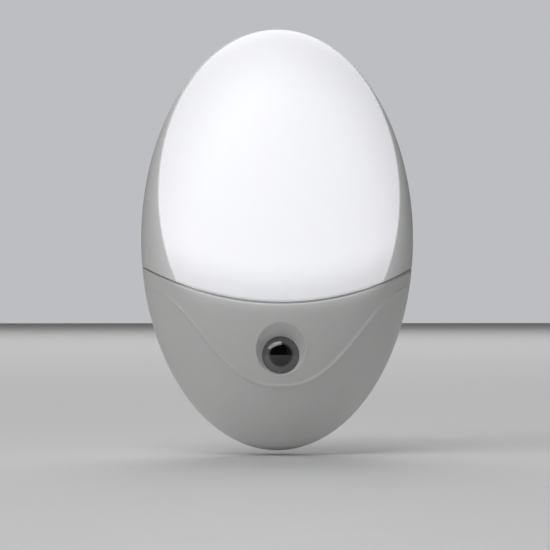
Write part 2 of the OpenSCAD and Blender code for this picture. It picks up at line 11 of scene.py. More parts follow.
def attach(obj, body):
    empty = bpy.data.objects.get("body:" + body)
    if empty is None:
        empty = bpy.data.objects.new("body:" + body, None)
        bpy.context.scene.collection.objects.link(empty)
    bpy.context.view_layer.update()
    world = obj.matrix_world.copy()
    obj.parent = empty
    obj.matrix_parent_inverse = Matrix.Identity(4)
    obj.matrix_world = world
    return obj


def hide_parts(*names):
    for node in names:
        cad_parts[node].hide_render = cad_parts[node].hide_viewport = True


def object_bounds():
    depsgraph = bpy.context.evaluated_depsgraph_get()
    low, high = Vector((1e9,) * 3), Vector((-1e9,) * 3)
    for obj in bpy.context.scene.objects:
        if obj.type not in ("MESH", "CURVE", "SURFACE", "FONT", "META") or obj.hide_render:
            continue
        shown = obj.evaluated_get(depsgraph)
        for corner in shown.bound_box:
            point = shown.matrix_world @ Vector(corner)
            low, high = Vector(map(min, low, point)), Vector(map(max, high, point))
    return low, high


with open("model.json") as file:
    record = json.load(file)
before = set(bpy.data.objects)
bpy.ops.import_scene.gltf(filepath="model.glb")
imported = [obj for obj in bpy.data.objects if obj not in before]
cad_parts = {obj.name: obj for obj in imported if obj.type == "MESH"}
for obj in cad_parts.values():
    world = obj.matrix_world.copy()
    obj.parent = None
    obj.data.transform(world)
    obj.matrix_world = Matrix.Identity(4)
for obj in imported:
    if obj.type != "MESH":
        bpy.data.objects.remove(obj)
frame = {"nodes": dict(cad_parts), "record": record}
cad_low, cad_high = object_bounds()

# ---- Sizes in millimetres, in the body's own frame: its origin is the egg's centre, the front is -Y ----

MM = 0.001
HALF_W = 31.0                                     # half-axes of the egg
HALF_H = 48.0
DOME_D = 22.0
TUB_D = 12.0                                      # from the widest outline to the flat back
CENTRE = Vector((0, -30.0, 17.0))                 # the egg's centre, from the plug's engagement face
HOUSING_WALL = 1.8
COVER_WALL = 2.4

SEAM_R = 64.0                                     # the curved seam above the lower cover
SEAM_Z = SEAM_R - 14.3                            # centre of its arc
SEAM_GAP = 0.5
PARTING_TILT = math.radians(12.9)                 # the diffuser's parting plane
PARTING_D = 11.7
PARTING_GAP = 0.2
LIP_L = 2.0                                       # the diffuser's rebated edge
LIP_T = 1.0
LIP_GAP = 0.2
LEDGE_D = 0.8                                     # depth of the seam groove, down to its ledge
LEDGE_W = 1.0                                     # the ledge's width, from the middle of the seam
EDGE = 0.5                                        # rounding of the moulded edges

CREASE_LOW = 32.9                                 # the S-shaped crease of the cover
CREASE_END = 11.0
CREASE_TURN = 1.22
BEAD_H = 0.35                                     # the bead along it
BEAD_W = 0.8
CHEEK_FALL = 0.8                                  # how the cheeks fall away below it
CHEEK_LEN = 5.0

SENSOR_Z = -26.0                                  # the light sensor and its dish
LENS_R = 4.15
LENS_T = 1.5
LENS_CROWN = 1.5
LENS_SINK = 1.9
LENS_FLANGE_R = 5.0
LENS_FLANGE_T = 0.8
LENS_BORE = 0.6                                   # how far ahead of the lens's rim its bore starts
LENS_BORE_END = 1.0                               # depth at which the bores are past the collar
LENS_CLEAR = 0.02                                 # between the lens's back and the shroud
COLLAR_WALL = 1.5                                 # the collar behind the dish, round the lens and its shroud
COLLAR_L = 4.2
DISH_ANGLE = math.radians(40.5)
DISH_ROUND = 0.3                                  # depth over which the dish's rim is rounded
DISH_LIP_H = 0.14                                 # the faint raised lip round the dish
DISH_LIP_W = 0.6
DISH_REACH = 12.0                                 # radius within which the skin may meet the dish
CONE_L = 10.0                                     # length of the cone that opens the dish

BLOCK_W = 35.3                                    # the plug block
BLOCK_H = 13.7
BLOCK_L = 18.0
BLOCK_CHAMFER = 5.0
BLOCK_WALL = 2.0
BLOCK_ROUND = 1.2                                 # rounding of its long edges
FACE_ROUND = 0.5                                  # and of its face's edges
CHAMFER_SHRINK = 0.59                             # lost by a chamfer for each millimetre of inset
FACE_T = 3.0
PIN_PITCH = 18.6
TIP_PITCH = 17.5
PIN_L = 19.0
SLEEVE_R = 1.8
RELIEF_R = 2.6                                    # shallow relief round each pin on the face
RELIEF_D = 0.4
BORE_REACH = 6.0                                  # reach of a pin's bore to each side of the face

SCREW_X = 9.5                                     # the housing screws
SCREW_Z = -31.0
SCREW_R = 1.45
SCREW_L = 12.0
SCREW_HEAD_R = 2.755
SCREW_HEAD_T = 1.74
SCREW_SEAT = 8.0
SCREW_TIP = 2.0                                   # length and radius of the point
SCREW_TIP_R = 0.3
HEAD_EDGE = 0.3                                   # height of the head's straight edge
CROSS_L = 3.0                                     # the cross recess in the head
CROSS_T = 0.7
CROSS_D = 1.1
SCREW_HOLE_R = 1.6
HEAD_CLEAR = 0.15                                 # between the head and its seat's wall
BOSS_R = 3.2                                      # bosses in the cover, which the screws cut into
BOSS_BACK = 0.55
PILOT_R = 1.22
PILOT_FRONT = -8.4
PILOT_BACK = 1.6
WALL_BITE = 1.0                                   # how far a boss or the collar runs into the cover's wall

TOWER_R = 4.2                                     # towers in the housing, which hold the screws' heads
TOWER_FRONT = 0.6
POST_R = 2.5                                      # posts in the housing, which carry the board
POST_X = 14.5
POST_Z = (30.0, -2.5)
POST_FRONT = 3.2
POST_PILOT_R = 0.92
POST_PILOT_END = 9.2
BACK_ROUND = 0.9                                  # rounding of the flat back's edge
ROOT = 0.5                                        # how far a post, tower or block runs into its wall

SLIP = 0.05                                       # clearance round a piece that slides into a bore
OPEN = 1.0                                        # how far a cutter runs on past the face that it opens
SEAM_CUT = 40.0                                   # reach of the seam's cutter, to the front and to the back
FAR = 60.0                                        # reach of a block that cuts, past every side of the body
FAR_DOWN = 80.0                                   # its reach downwards, under the seam
FAR_TILTED = 90.0                                 # its reach up and down, where it is tilted
LEDGE_TOP = 20.0                                  # tops of the blocks that meet the seam, above its two ends
SEAM_TOP = 30.0
FINE = 256                                        # steps round an egg whose outside shows

# ---- Light in the materials: emission strengths, and reaches in millimetres ----

DIFFUSER_GLOW = 0.55
DIFFUSER_RIM = (0.62, 0.98)                       # it softens here, as shares of the way to the outline,
DIFFUSER_RIM_SHARE = 0.85                         # down to this share of it
DIFFUSER_FOOT = 9.0                               # and over this height above the seam,
DIFFUSER_FOOT_SHARE = 0.65                        # down to this share
DIFFUSER_EDGE_GLOW = 0.3                          # on its rounded edge at the seam
DIFFUSER_EDGE = 0.8                               # where it starts to fall to that, above the seam's middle
HOUSING_GLOW = 0.16                               # light that the diffuser sends into the housing's front
HOUSING_REACH = 3.5
COVER_GLOW = 0.2                                  # and into the cover's top edge
COVER_REACH = 1.1
COVER_GLOW_END = (-2.0, 1.0)                      # distances behind the parting plane over which it stops
LEDGE_GLOW_END = (0.2, 0.4)                       # distances below the seam's middle over which it starts
BORE_SHADE_RADII = (2.2, 3.0)                                # radii between which the lens turns from black (painted shade of the dark bore behind it) to grey
NOISE = (0.3, 0.7)                                # range in which most of a noise pattern lies


# ---- Modelling helpers ----

def only(*pieces):
    """Selects these objects alone. The first one is active."""
    bpy.ops.object.select_all(action="DESELECT")
    for piece in pieces:
        piece.select_set(True)
    bpy.context.view_layer.objects.active = pieces[0]


def in_edit_mode(piece, *steps):
    """Runs each step on the whole mesh in edit mode."""
    only(piece)
    bpy.ops.object.mode_set(mode="EDIT")
    for step in steps:
        bpy.ops.mesh.select_all(action="SELECT")
        step()
    bpy.ops.object.mode_set(mode="OBJECT")


def new_piece(name, points, faces):
    """A closed mesh from its points and faces, with its doubles merged and its faces turned outwards."""
    mesh = bpy.data.meshes.new(name)
    mesh.from_pydata([tuple(p) for p in points], [], faces)
    piece = bpy.data.objects.new(name, mesh)
    bpy.context.scene.collection.objects.link(piece)
    in_edit_mode(
        piece,
        lambda: bpy.ops.mesh.remove_doubles(threshold=1e-5),
        lambda: bpy.ops.mesh.normals_make_consistent(inside=False),
    )
    return piece


def egg(name, inset=0.0, segments=128):
    """The egg-shaped body, moved in by an inset."""
    bpy.ops.mesh.primitive_uv_sphere_add(segments=segments, ring_count=segments // 2, radius=1)
    piece = bpy.context.object
    piece.name = name
    size = (HALF_W - inset, DOME_D - inset, HALF_H - inset)
    in_edit_mode(piece, lambda: bpy.ops.transform.resize(value=size))
    return piece


def box(name, low, high):
    """A block between two corners."""
    low, high = Vector(low), Vector(high)
    bpy.ops.mesh.primitive_cube_add(size=1)
    piece = bpy.context.object
    piece.name = name
    in_edit_mode(
        piece,
        lambda: bpy.ops.transform.resize(value=high - low),
        lambda: bpy.ops.transform.translate(value=(low + high) / 2),
    )
    return piece


def rod(name, x, z, y_from, y_to, r, sides=96, turn=0.0):
    """A round bar along Y, turned about Z by a small angle."""
    bpy.ops.mesh.primitive_cylinder_add(
        vertices=sides, radius=r, depth=y_to - y_from, location=(x, (y_from + y_to) / 2, z),
        rotation=(math.pi / 2, 0, turn),
    )
    piece = bpy.context.object
    piece.name = name
    bpy.ops.object.transform_apply(location=True, rotation=True, scale=True)
    return piece


def combine(piece, other, how):
    """Cuts, joins or clips a piece with another one, which is used up."""
    modifier = piece.modifiers.new("combine", "BOOLEAN")
    modifier.operation = how
    modifier.solver = "EXACT"
    modifier.object = other
    only(piece)
    bpy.ops.object.modifier_apply(modifier=modifier.name)
    bpy.data.objects.remove(other)
    return piece


def cut(piece, *others):
    for other in others:
        combine(piece, other, "DIFFERENCE")
    return piece


def join(piece, *others):
    for other in others:
        combine(piece, other, "UNION")
    return piece


def clip(piece, *others):
    for other in others:
        combine(piece, other, "INTERSECT")
    return piece


def turned(name, profile, steps=96):
    """A piece turned about Y from a profile of (radius, y) points that starts and ends on the axis."""
    mesh = bpy.data.meshes.new(name)
    points = [(r, y, 0) for r, y in profile]
    mesh.from_pydata(points, [(i, i + 1) for i in range(len(points) - 1)], [])
    piece = bpy.data.objects.new(name, mesh)
    bpy.context.scene.collection.objects.link(piece)
    in_edit_mode(
        piece,
        lambda: bpy.ops.mesh.spin(steps=steps, angle=2 * math.pi, center=(0, 0, 0), axis=(0, 1, 0)),
        lambda: bpy.ops.mesh.remove_doubles(threshold=1e-5),
        lambda: bpy.ops.mesh.normals_make_consistent(inside=False),
    )
    return piece


def shift(piece, x, y, z):
    """Moves a piece's mesh."""
    in_edit_mode(piece, lambda: bpy.ops.transform.translate(value=(x, y, z)))
    return piece


def round_edges(piece, chosen, width, segments, **settings):
    """Rounds off the edges that a test picks."""
    only(piece)
    bpy.ops.object.mode_set(mode="EDIT")
    bpy.ops.mesh.select_all(action="DESELECT")
    mesh = bmesh.from_edit_mesh(piece.data)
    for edge in mesh.edges:
        edge.select_set(chosen(edge))
    bmesh.update_edit_mesh(piece.data)
    bpy.ops.mesh.bevel(offset=width, segments=segments, affect="EDGES", **settings)
    bpy.ops.object.mode_set(mode="OBJECT")


def settle(piece, nodes, finish, sharp=35):
    """Puts a finished piece in the shared frame, in metres, in place of its CAD nodes."""
    in_edit_mode(
        piece,
        lambda: bpy.ops.transform.translate(value=CENTRE),
        lambda: bpy.ops.transform.resize(value=(MM, MM, MM), center_override=(0, 0, 0)),
    )
    only(piece)
    bpy.ops.object.shade_smooth_by_angle(angle=math.radians(sharp))
    piece.data.materials.clear()
    piece.data.materials.append(finish)
    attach(piece, "root")
    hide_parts(*nodes)
    return piece


# ---- Shapes that the shells share ----

def share(x, z):
    return (x / HALF_W) ** 2 + (z / HALF_H) ** 2


def skin(x, z):
    """Depth of the egg's front at a place."""
    return -DOME_D * math.sqrt(max(0.0, 1 - share(x, z)))


def outward(x, y, z):
    return Vector((x / HALF_W**2, y / DOME_D**2, z / HALF_H**2)).normalized()


def rounding(distance):
    """How far a moulded edge has fallen away at a distance from it."""
    if distance >= EDGE:
        return 0.0
    return EDGE - math.sqrt(EDGE**2 - (EDGE - distance) ** 2)


def seam_disc(name, r):
    """Everything above the seam, whose arc is seen from the front."""
    return rod(name, 0, SEAM_Z, -SEAM_CUT, SEAM_CUT, r, sides=512)


def ahead_of_parting(name, grow):
    """A block in front of the parting plane."""
    block = box(name, (-FAR, -FAR, -FAR_TILTED), (FAR, grow, FAR_TILTED))
    in_edit_mode(
        block,
        lambda: bpy.ops.transform.rotate(value=PARTING_TILT, orient_axis="X", center_override=(0, 0, 0)),
        lambda: bpy.ops.transform.translate(value=(0, -PARTING_D, 0)),
    )
    return block


def ease(steps, edge_steps=4):
    """Shares from 0 to 1 with extra rows close to both ends, for the rounded edges."""
    end = 0.01
    near = [0.0] + [end * (k + 1) / edge_steps for k in range(edge_steps)]
    middle = [end + (1 - 2 * end) * (k + 1) / steps for k in range(steps - 1)]
    return near + middle + [1 - n for n in reversed(near)]


# ---- Lower cover ----

CORNER_R = SEAM_R + SEAM_GAP / 2
NARROW = 1 - (HALF_W / HALF_H) ** 2
CORNER_Z = (SEAM_Z - math.sqrt(SEAM_Z**2 - NARROW * (HALF_W**2 + SEAM_Z**2 - CORNER_R**2))) / NARROW
CORNER_X = HALF_W * math.sqrt(1 - (CORNER_Z / HALF_H) ** 2)
CREASE_X = HALF_W * math.sqrt(1 - (CREASE_END / HALF_H) ** 2)
CREASE_ANGLE = math.asin(CREASE_X / HALF_W)


def crease_z(x):
    along = math.pi * min(1.0, abs(x) / CREASE_X) ** CREASE_TURN
    return -CREASE_END - (CREASE_LOW - CREASE_END) * (1 + math.cos(along)) / 2


def relief(x, z):
    """Height of the bead along the crease, less the fall of the cheeks below it."""
    step = 0.1
    slope = (crease_z(x + step) - crease_z(x - step)) / (2 * step)
    below = (crease_z(x) - z) / math.sqrt(1 + slope**2)
    bead = BEAD_H * math.cos(math.pi / 2 * min(1.0, abs(below) / BEAD_W)) ** 4
    sink = CHEEK_FALL * (1 - math.exp(-below / CHEEK_LEN)) if below > 0 else 0.0
    return (bead - sink) * (1 - share(x, z) ** 3)


LENS_Y = skin(0, SENSOR_Z) + LENS_SINK
LENS_BACK = LENS_Y + LENS_T
FLANGE_Y = LENS_BACK + LENS_FLANGE_T


def with_dish(y, x, z):
    """The skin's depth where the sensor's dish cuts it, with a rounded rim."""
    r = math.hypot(x, z - SENSOR_Z)
    dish = LENS_Y - (r - LENS_R - SLIP) / math.tan(DISH_ANGLE)
    near = max(0.0, DISH_ROUND - abs(y - dish)) / DISH_ROUND
    lip = DISH_LIP_H * math.cos(math.pi / 2 * min(1.0, abs(y - dish) / DISH_LIP_W)) ** 2
    return max(y, dish) + near**2 * DISH_ROUND / 4 - lip


def dish_cone(wider):
    """The sensor's dish as a solid, from the lens's rim out past the skin."""
    r = LENS_R + SLIP + wider
    wide = r + CONE_L * math.tan(DISH_ANGLE)
    cone = turned("dish", [(0, LENS_Y), (r, LENS_Y), (wide, LENS_Y - CONE_L), (0, LENS_Y - CONE_L)])
    return shift(cone, 0, 0, SENSOR_Z)


def seam_ledge():
    """The shallow step below the cover's top edge that closes the groove's floor."""
    ledge = clip(
        egg("ledge", LEDGE_D, FINE),
        box("front", (-FAR, -FAR, -FAR), (FAR, -SLIP, LEDGE_TOP)),
        seam_disc("near", SEAM_R + LEDGE_W),
    )
    return cut(ledge, seam_disc("far", SEAM_R - SEAM_GAP / 2 + SLIP))


def cover_point(x, z, from_seam):
    """A point of the cover's outside, with its relief, its rounded top edge and its dish."""
    y = skin(x, z)
    place = Vector((x, y, z)) + outward(x, y, z) * (relief(x, z) - rounding(from_seam))
    if math.hypot(x, z - SENSOR_Z) < DISH_REACH:
        place.y = with_dish(place.y, place.x, place.z)
    return place


def lower_cover_shell(finish):
    """Lofted from the seam, through the crease, to the outline, then hollowed."""
    columns, upper_rows, lower_rows = 360, 130, 46
    crowd, crowd_low = 0.6, 1.2                   # how far columns and rows crowd where they are closest
    points, faces = [], []
    rows = upper_rows + lower_rows
    for i in range(columns + 1):
        s = 2 * i / columns - 1
        s = s * (crowd + (1 - crowd) * s * s)     # closer columns in the middle, where the dish is
        turn = math.pi / 2 * s
        x = CORNER_X * math.sin(turn)
        top = Vector((x, SEAM_Z - math.sqrt(CORNER_R**2 - x * x)))
        x = CREASE_X * math.sin(turn)
        mid = Vector((x, crease_z(x)))
        low = Vector((HALF_W * math.sin(CREASE_ANGLE * s), -HALF_H * math.cos(CREASE_ANGLE * s)))
        end = i in (0, columns)
        for j in range(rows + 1):
            if j <= upper_rows:
                t = j / upper_rows                # closer rows at the seam and at the crease
                p = top + (mid - top) * (t - crowd * math.sin(2 * math.pi * t) / (2 * math.pi))
            else:
                t = (j - upper_rows) / lower_rows
                p = mid + (low - mid) * math.sin(math.pi / 2 * t ** crowd_low)
            if end:
                p = p / math.sqrt(share(p.x, p.y))
                points.append(Vector((p.x, 0, p.y)))
            elif j == rows:
                points.append(Vector((low.x, 0, low.y)))
            else:
                points.append(cover_point(p.x, p.y, (p - top).length))
    at = lambda i, j: i * (rows + 1) + j
    for i in range(columns):
        for j in range(rows):
            faces.append((at(i, j), at(i + 1, j), at(i + 1, j + 1), at(i, j + 1)))
    back = len(points)
    points += [Vector((points[at(i, 0)].x, 0, points[at(i, 0)].z)) for i in range(columns + 1)]
    for i in range(columns):
        faces.append((at(i, 0), back + i, back + i + 1, at(i + 1, 0)))
    rim = [at(0, j) for j in range(upper_rows + 1)]
    rim += [at(i, rows) for i in range(1, columns)]
    rim += [at(columns, j) for j in range(upper_rows, -1, -1)]
    rim += [back + i for i in range(columns - 1, 0, -1)]
    faces.append(tuple(rim))
    cover = join(new_piece("lower_cover_shell", points, faces), seam_ledge())
    cut(cover, egg("cavity", COVER_WALL))
    collar = rod("collar", 0, SENSOR_Z, -DOME_D, FLANGE_Y + COLLAR_L, LENS_FLANGE_R + COLLAR_WALL)
    inside = cut(collar, dish_cone(SLIP))
    for side in (-1, 1):
        join(inside, rod("boss", side * SCREW_X, SCREW_Z, -DOME_D, BOSS_BACK, BOSS_R))
    join(cover, clip(inside, egg("inner_skin", COVER_WALL - WALL_BITE)))
    cut(
        cover,
        rod("lens_bore", 0, SENSOR_Z, LENS_Y - LENS_BORE, LENS_BORE_END, LENS_R + SLIP),
        rod("flange_bore", 0, SENSOR_Z, LENS_BACK, LENS_BORE_END, LENS_FLANGE_R + SLIP),
        *[rod("pilot", side * SCREW_X, SCREW_Z, PILOT_FRONT, PILOT_BACK, PILOT_R) for side in (-1, 1)],
    )
    return settle(cover, ["lower_cover"], finish)


# ---- Sensor lens ----

def sensor_lens_dome(finish):
    """Turned from its flange, its rim and its crown."""
    arc_r = (LENS_R**2 + LENS_CROWN**2) / (2 * LENS_CROWN)
    reach, steps = math.asin(LENS_R / arc_r), 24
    back = FLANGE_Y - LENS_CLEAR
    profile = [(0, back), (LENS_FLANGE_R, back), (LENS_FLANGE_R, LENS_BACK), (LENS_R, LENS_BACK)]
    for k in range(steps + 1):
        lean = reach * (1 - k / steps)
        profile.append((arc_r * math.sin(lean), LENS_Y - LENS_CROWN + arc_r * (1 - math.cos(lean))))
    dome = shift(turned("sensor_lens_dome", profile), 0, 0, SENSOR_Z)
    return settle(dome, ["sensor_lens"], finish)


# ---- Diffuser ----

def diffuser_shell(finish):
    """Lofted from the seam to the tilted parting plane, then hollowed and given its rebated edge."""
    slope, depth = math.tan(PARTING_TILT), PARTING_D + PARTING_GAP / 2 / math.cos(PARTING_TILT)
    a = 1 / HALF_H**2 + (slope / DOME_D) ** 2
    b = -2 * depth * slope / DOME_D**2
    c = (depth / DOME_D) ** 2 - 1
    mid_z = -b / (2 * a)
    half_z = math.sqrt(mid_z**2 - c / a)
    half_x = HALF_W * math.sqrt(a) * half_z
    arc_r = SEAM_R - SEAM_GAP / 2
    on_edge = lambda turn: Vector((half_x * math.cos(turn), mid_z + half_z * math.sin(turn)))
    low_turn, high_turn = -math.pi / 2, 0.0       # the seam meets the edge between these two turns
    for halving in range(60):
        turn = (low_turn + high_turn) / 2
        p = on_edge(turn)
        if math.hypot(p.x, p.y - SEAM_Z) > arc_r:
            low_turn = turn
        else:
            high_turn = turn
    corner = on_edge(high_turn)
    columns, steps = 240, 120
    shares = ease(steps)
    points, faces = [], []
    for i in range(columns + 1):
        s = 2 * i / columns - 1
        x = corner.x * math.sin(math.pi / 2 * s)
        low = Vector((x, SEAM_Z - math.sqrt(arc_r**2 - x * x)))
        top = on_edge(math.pi / 2 - s * (math.pi / 2 - high_turn))
        for t in shares:
            p = low + (top - low) * t
            y = skin(p.x, p.y)
            fall = rounding(min((p - low).length, (top - p).length))
            place = Vector((p.x, y, p.y))
            if 0 < i < columns:
                place -= outward(*place) * fall
            if t == 1:
                place.y = -depth + place.z * slope
            points.append(place)
    rows = len(shares) - 1
    at = lambda i, j: i * (rows + 1) + j
    for i in range(columns):
        for j in range(rows):
            faces.append((at(i, j), at(i + 1, j), at(i + 1, j + 1), at(i, j + 1)))
    back = len(points)
    for i in range(columns + 1):
        p = points[at(i, 0)]
        points.append(Vector((p.x, -depth + p.z * slope, p.z)))
    for i in range(columns):
        faces.append((at(i, 0), back + i, back + i + 1, at(i + 1, 0)))
    behind = [at(i, rows) for i in range(columns + 1)] + [back + i for i in range(columns - 1, 0, -1)]
    faces.append(tuple(behind))
    dome = new_piece("diffuser_shell", points, faces)
    lip_inset = COVER_WALL + LIP_GAP
    lip = clip(
        egg("lip", lip_inset),
        ahead_of_parting("ahead", LIP_L - PARTING_GAP / 2),
        seam_disc("above", SEAM_R + LIP_L - SEAM_GAP / 2),
    )
    hollow = clip(
        egg("hollow", HOUSING_WALL),
        ahead_of_parting("ahead", -LIP_L - PARTING_GAP / 2),
        seam_disc("above", SEAM_R - LIP_L - SEAM_GAP / 2),
    )
    join(dome, lip)
    cut(dome, egg("cavity", lip_inset + LIP_T), hollow)
    return settle(dome, ["diffuser"], finish)


# ---- Rear housing ----

def block_outline(inset):
    """Corners of the plug block's eight-sided outline."""
    w, h, c = BLOCK_W / 2 - inset, BLOCK_H / 2 - inset, BLOCK_CHAMFER - CHAMFER_SHRINK * inset
    right = [(w - c, -h), (w, c - h), (w, h - c), (w - c, h)]
    return right[2:] + [(-x, z) for x, z in reversed(right)] + right[:2]


def plug_prism(name, y_from, y_to, inset, rounded=False):
    """The block's outline pushed along Y, with its long edges and its face's edges rounded if asked."""
    corners = block_outline(inset)
    points = [(x, y, z - CENTRE.z) for y in (y_from, y_to) for x, z in corners]
    n = len(corners)
    faces = [(i, (i + 1) % n, n + (i + 1) % n, n + i) for i in range(n)]
    faces += [tuple(range(n)), tuple(range(n, 2 * n))]
    piece = new_piece(name, points, faces)
    if rounded:
        long_edge = lambda edge: abs(edge.verts[0].co.y - edge.verts[1].co.y) > 1
        round_edges(piece, long_edge, BLOCK_ROUND, segments=6, offset_type="WIDTH")
        on_face = lambda edge: all(abs(v.co.y - y_to) < 1e-4 for v in edge.verts)
        round_edges(piece, on_face, FACE_ROUND, segments=4)
    return piece


def cut_back(y):
    """Cuts the selected mesh flat behind a depth, and closes it."""
    bpy.ops.mesh.bisect(plane_co=(0, y, 0), plane_no=(0, 1, 0), clear_outer=True, use_fill=True)


def rear_housing_shell(finish):
    """The egg with a flat back, hollowed, opened in front of the parting plane and below the seam."""
    shell = egg("rear_housing_shell", segments=FINE)
    in_edit_mode(shell, lambda: cut_back(TUB_D))
    on_back = lambda edge: all(abs(v.co.y - TUB_D) < 1e-3 for v in edge.verts)
    bent = lambda edge: len(edge.link_faces) == 2 and edge.calc_face_angle(0) > 0.3
    round_edges(shell, lambda edge: on_back(edge) and bent(edge), BACK_ROUND, segments=5)

    cavity = egg("cavity", HOUSING_WALL)
    in_edit_mode(cavity, lambda: cut_back(TUB_D - HOUSING_WALL))
    below = box("below", (-FAR, -FAR, -FAR_DOWN), (FAR, PARTING_GAP, SEAM_TOP))
    cut(below, seam_disc("above", SEAM_R - SEAM_GAP / 2))
    cut(shell, cavity, ahead_of_parting("ahead", PARTING_GAP / 2), below)

    wall = TUB_D - HOUSING_WALL + ROOT
    for x in (-POST_X, POST_X):
        for z in POST_Z:
            post = rod("post", x, z, POST_FRONT, wall, POST_R)
            join(shell, cut(post, rod("pilot", x, z, 0, POST_PILOT_END, POST_PILOT_R)))
    for side in (-1, 1):
        join(shell, rod("tower", side * SCREW_X, SCREW_Z, TOWER_FRONT, wall, TOWER_R))
    face_y = TUB_D + BLOCK_L
    join(shell, plug_prism("block", TUB_D - ROOT, face_y, 0, rounded=True))
    cut(shell, plug_prism("block_cavity", TUB_D - HOUSING_WALL - OPEN, face_y - FACE_T, BLOCK_WALL))
    converge = math.atan((PIN_PITCH - TIP_PITCH) / 2 / PIN_L)
    for side in (-1, 1):
        at, turn = side * PIN_PITCH / 2, side * converge
        cut(
            shell,
            rod("bore", at, -CENTRE.z, face_y - BORE_REACH, face_y + BORE_REACH, SLEEVE_R + SLIP, turn=turn),
            rod("relief", at, -CENTRE.z, face_y - RELIEF_D, face_y + RELIEF_D, RELIEF_R, turn=turn),
            rod("screw_hole", side * SCREW_X, SCREW_Z, 0, TUB_D + OPEN, SCREW_HOLE_R),
            rod("head_seat", side * SCREW_X, SCREW_Z, SCREW_SEAT, TUB_D + OPEN, SCREW_HEAD_R + HEAD_CLEAR),
        )
    return settle(shell, ["rear_housing"], finish)


def housing_screws_cross(finish):
    """Two pan-head screws with domed heads and cross recesses, seen at the bottom of their seats."""
    top, tip, steps = SCREW_SEAT + SCREW_HEAD_T, SCREW_SEAT - SCREW_L, 12
    profile = [(0, tip), (SCREW_TIP_R, tip), (SCREW_R, tip + SCREW_TIP), (SCREW_R, SCREW_SEAT)]
    profile.append((SCREW_HEAD_R, SCREW_SEAT))
    for k in range(steps):
        lean = math.pi / 2 * k / steps
        height = HEAD_EDGE + (SCREW_HEAD_T - HEAD_EDGE) * math.sin(lean)
        profile.append((SCREW_HEAD_R * math.cos(lean), SCREW_SEAT + height))
    profile.append((0, top))
    screws = []
    for side in (-1, 1):
        x = side * SCREW_X
        screw = shift(turned("screw", profile), x, 0, SCREW_Z)
        for l, t in ((CROSS_L, CROSS_T), (CROSS_T, CROSS_L)):
            low = (x - l / 2, top - CROSS_D, SCREW_Z - t / 2)
            cut(screw, box("slot", low, (x + l / 2, top + OPEN, SCREW_Z + t / 2)))
        screws.append(screw)
    pair = join(*screws)
    pair.name = "housing_screws_cross"
    return settle(pair, ["housing_screws"], finish)


# ---- Finishes ----

def linear(code):
    """An sRGB hex colour as the linear colour that a shader takes."""
    channels = [int(code[i : i + 2], 16) / 255 for i in (1, 3, 5)]
    return [c / 12.92 if c <= 0.04045 else ((c + 0.055) / 1.055) ** 2.4 for c in channels] + [1.0]


def add(tree, kind, inputs=None, **settings):
    """Adds a node with its settings. An input is a value or another node's output, which is linked."""
    made = tree.nodes.new(kind)
    for key, value in settings.items():
        setattr(made, key, value)
    for key, value in (inputs or {}).items():
        if isinstance(value, bpy.types.NodeSocket):
            tree.links.new(value, made.inputs[key])
        else:
            made.inputs[key].default_value = value
    return made


def base_finish(name, colour, roughness, ior=1.5, metallic=0.0, **others):
    """A material with its uniform values on the shader's sockets. Returns it, its tree and its shader."""
    made = bpy.data.materials.new(name)
    made.use_nodes = True
    tree = made.node_tree
    shader = tree.nodes["Principled BSDF"]
    values = {"Base Color": linear(colour), "Roughness": roughness, "Metallic": metallic}
    if not metallic:
        values["IOR"] = ior
    values.update(others)
    for key, value in values.items():
        shader.inputs[key].default_value = value
    return made, tree, shader


def grain(tree, shader, size_mm, depth_mm, stretch=(1, 1, 1), detail=3.0):
    """A moulded or worked grain as bump, drawn coarser than the real one, which is too fine to show."""
    place = add(tree, "ShaderNodeTexCoord").outputs["Object"]
    scaled = add(tree, "ShaderNodeMapping", {"Vector": place, "Scale": stretch}).outputs["Vector"]
    noise = add(tree, "ShaderNodeTexNoise", {"Vector": scaled, "Scale": 1 / (size_mm * MM), "Detail": detail})
    bump = add(
        tree, "ShaderNodeBump",
        {"Height": noise.outputs["Fac"], "Strength": 1.0, "Distance": depth_mm * MM},
    )
    tree.links.new(bump.outputs["Normal"], shader.inputs["Normal"])
    return noise.outputs["Fac"]


def uneven(tree, socket, noise, low, high):
    """Lets a value wander between two limits with the grain."""
    spread = add(
        tree, "ShaderNodeMapRange",
        {"Value": noise, "From Min": NOISE[0], "From Max": NOISE[1], "To Min": low, "To Max": high},
    )
    tree.links.new(spread.outputs["Result"], socket)


def seam_distance(tree):
    """Distance outside the seam's arc in metres: positive below the seam."""
    place = add(tree, "ShaderNodeTexCoord").outputs["Object"]
    flat = add(tree, "ShaderNodeVectorMath", {0: place, 1: (1, 0, 1)}, operation="MULTIPLY").outputs[0]
    centre = (0, 0, (SEAM_Z + CENTRE.z) * MM)
    reach = add(tree, "ShaderNodeVectorMath", {0: flat, 1: centre}, operation="DISTANCE").outputs["Value"]
    return add(tree, "ShaderNodeMath", {0: reach, 1: SEAM_R * MM}, operation="SUBTRACT").outputs[0]


def parting_distance(tree):
    """Distance behind the diffuser's parting plane in metres."""
    place = add(tree, "ShaderNodeTexCoord").outputs["Object"]
    normal = Vector((0, math.cos(PARTING_TILT), -math.sin(PARTING_TILT)))
    start = normal.dot(CENTRE + Vector((0, -PARTING_D, 0))) * MM
    along = add(tree, "ShaderNodeVectorMath", {0: place, 1: normal}, operation="DOT_PRODUCT").outputs["Value"]
    return add(tree, "ShaderNodeMath", {0: along, 1: start}, operation="SUBTRACT").outputs[0]


